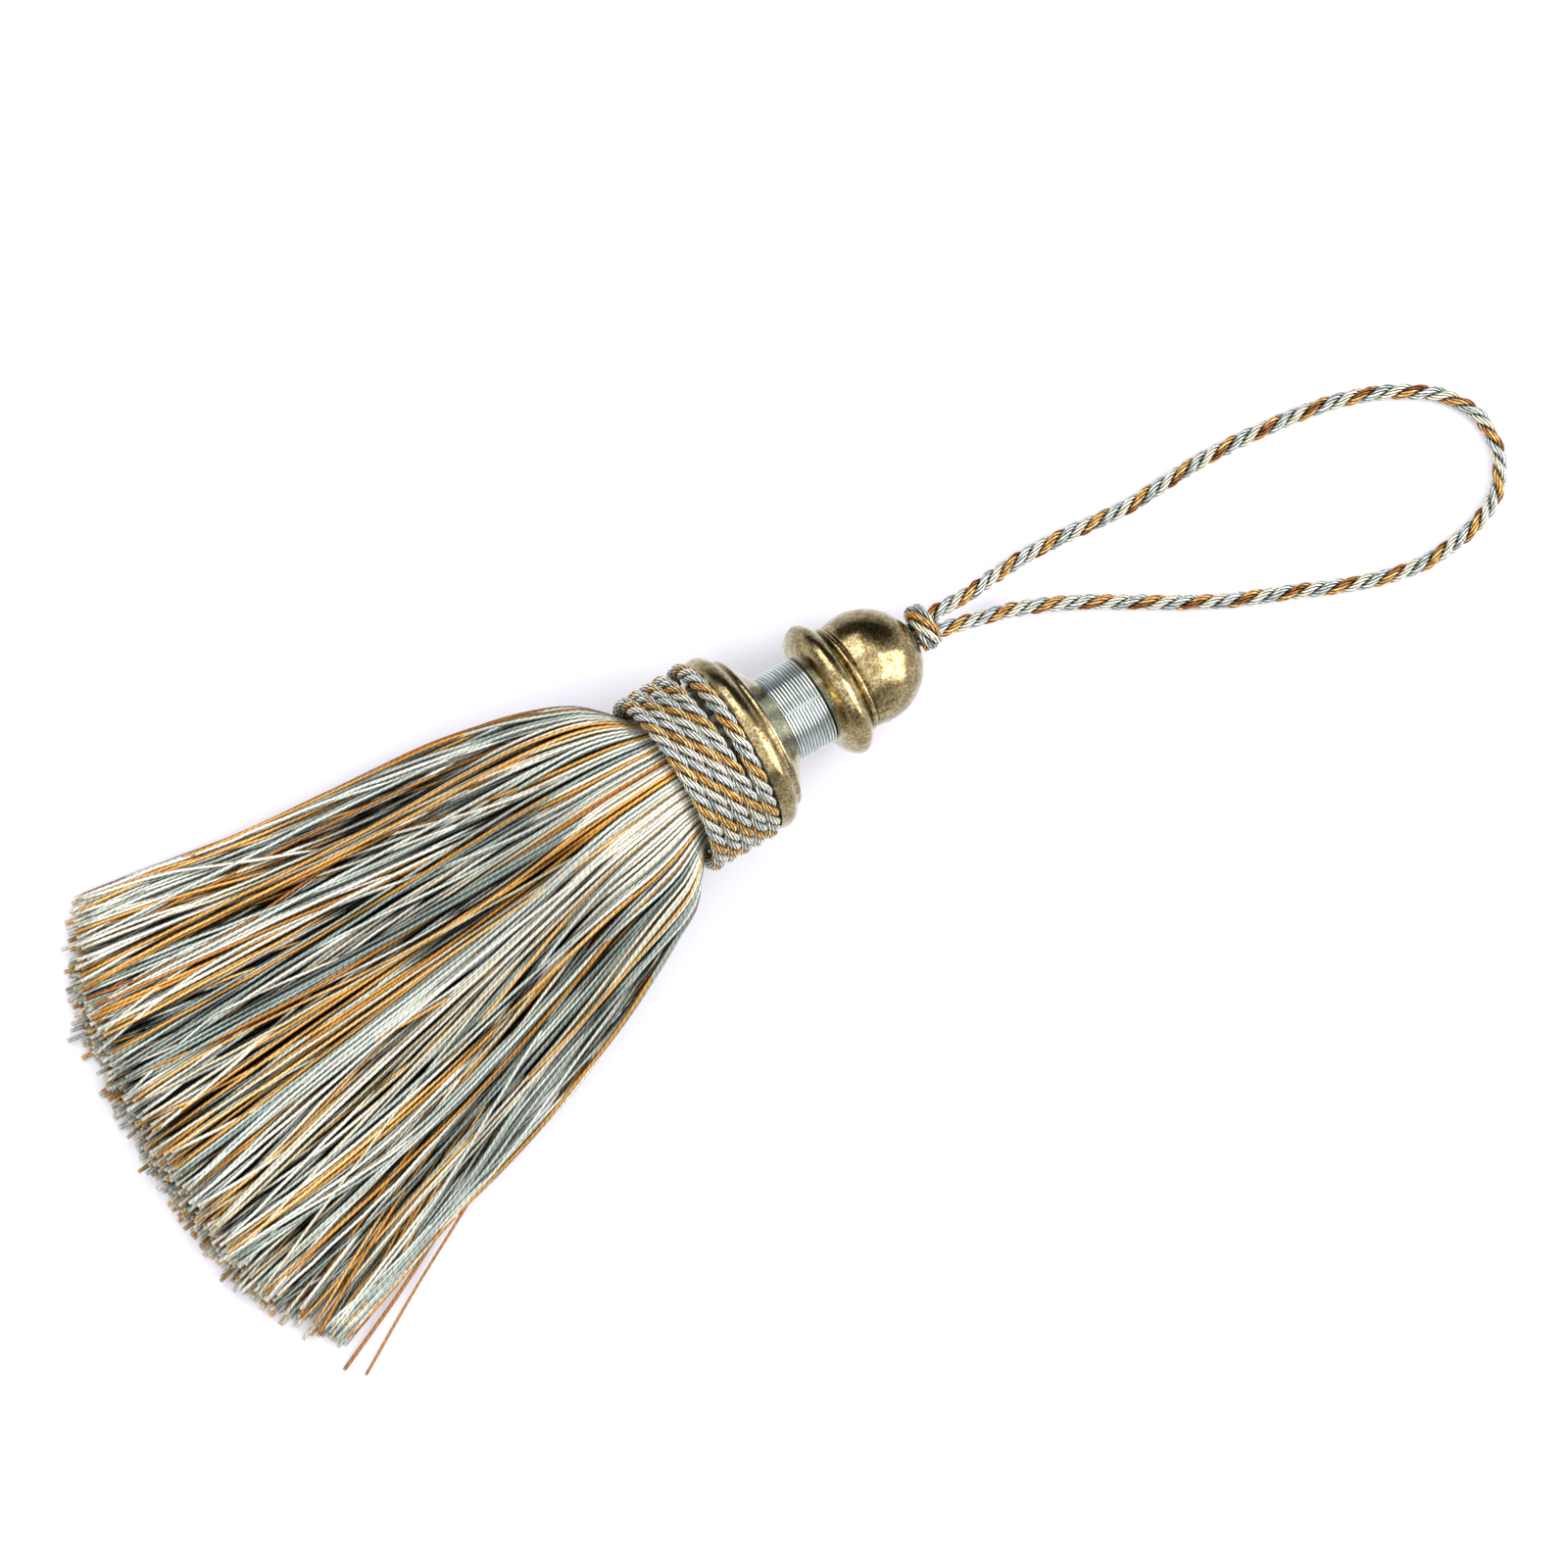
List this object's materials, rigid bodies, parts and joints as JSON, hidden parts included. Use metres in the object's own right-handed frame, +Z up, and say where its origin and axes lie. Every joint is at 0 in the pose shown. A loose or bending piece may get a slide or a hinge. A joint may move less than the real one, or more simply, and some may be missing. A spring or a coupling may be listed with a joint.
{
  "type": "key tassel",
  "caption": "Decorative key tassel lying flat: twisted cord loop and knot, turned gilded head with a silk-wound neck, cord ruff and a long skirt of cut threads.",
  "frame": {"origin": "on the surface that the tassel lies on, below the middle of the head and skirt; the loop is left out of that measure", "axes": "+X from the hem of the skirt to the hanging loop, along the head seen from above; +Y to the left of that; +Z up"},
  "size_m": [0.2562, 0.094, 0.0348],
  "materials": {
    "three_ply_cord": "twisted silky cord in ochre, ivory and grey-blue",
    "antique_gilt": "turned wood under mottled antique gold leaf",
    "pale_blue_silk": "glossy fine silk winding",
    "skirt_thread": "silky two-ply threads in grey-blue, ivory and ochre"
  },
  "bodies": {
    "root": {"hanging_loop": "three_ply_cord", "loop_knot": "three_ply_cord", "turned_head": "antique_gilt", "neck_winding": "pale_blue_silk", "ruff_band": "three_ply_cord", "skirt": "skirt_thread"}
  },
  "joints": []
}
